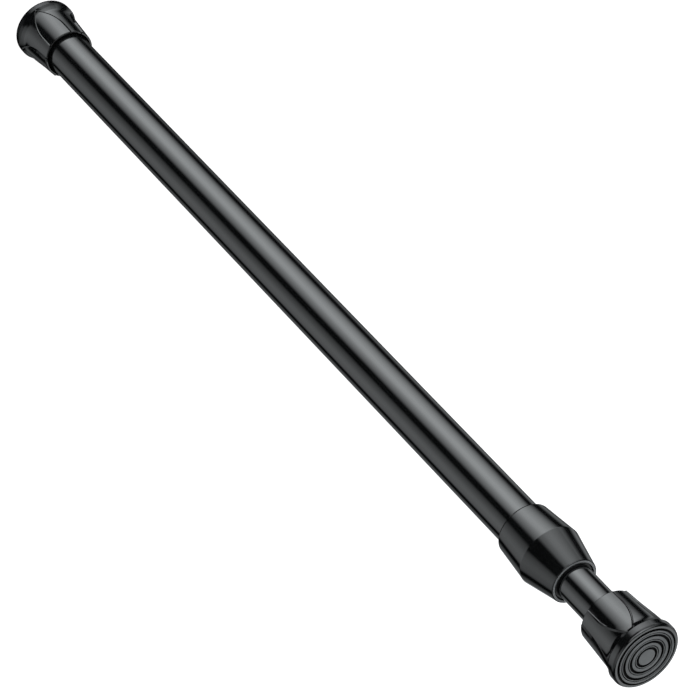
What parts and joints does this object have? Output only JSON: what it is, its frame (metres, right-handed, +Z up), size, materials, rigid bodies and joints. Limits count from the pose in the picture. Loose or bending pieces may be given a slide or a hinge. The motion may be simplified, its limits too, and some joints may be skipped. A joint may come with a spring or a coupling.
{
  "type": "spring tension rod",
  "caption": "Black telescoping spring tension rod with a twist lock, a double-cone collar and petalled end caps with ringed rubber feet, braced between two walls.",
  "frame": {"origin": "centre of the back foot's face, on the rod's axis", "axes": "+X along the rod to the front foot, where the thin inner tube is; +Z up"},
  "size_m": [0.388, 0.0234, 0.0234],
  "materials": {
    "tube_paint": "satin black paint on steel tube",
    "cap_plastic": "satin black moulded plastic",
    "pad_rubber": "matte dark grey rubber with ring grooves",
    "bush_plastic": "matte black plastic",
    "lock_plastic": "natural nylon",
    "steel": "zinc plated steel",
    "spring_steel": "drawn spring wire"
  },
  "bodies": {
    "outer": {"outer_tube": "tube_paint", "collar": "cap_plastic", "guide_bush": "bush_plastic", "rear_end_cap": "cap_plastic", "rear_foot_pad": "pad_rubber"},
    "lock": {"lock_sleeve": "lock_plastic"},
    "wedge": {"wedge_nut": "lock_plastic"},
    "stem": {"lock_stem": "steel", "thrust_washer": "steel", "retaining_ring": "steel", "spring_plunger": "lock_plastic", "plunger_screw": "steel", "tension_spring": "spring_steel"},
    "inner": {"inner_tube": "tube_paint", "key_bush": "bush_plastic", "bush_pins": "steel", "spring_stop": "lock_plastic", "front_end_cap": "cap_plastic", "front_foot_pad": "pad_rubber"}
  },
  "joints": [
    {"name": "extend", "type": "slide", "parent": "outer", "child": "lock", "axis": [1, 0, 0], "range_m": [0, 0.24]},
    {"name": "twist", "type": "hinge", "parent": "lock", "child": "stem", "pos_m": [0.06, 0, 0], "axis": [1, 0, 0], "range_deg": [0, 360]},
    {"name": "wedge_feed", "type": "slide", "parent": "lock", "child": "wedge", "axis": [1, 0, 0], "range_m": [0, 0.0015]},
    {"name": "press", "type": "slide", "parent": "stem", "child": "inner", "axis": [1, 0, 0], "range_m": [-0.016, 0], "stiffness_N_per_m": 2500, "springref_m": 0.005, "deforming": ["tension_spring"]}
  ],
  "couplings": [
    {"joint": "wedge_feed", "follows": "twist", "m_per_rad": 0.0002387}
  ]
}
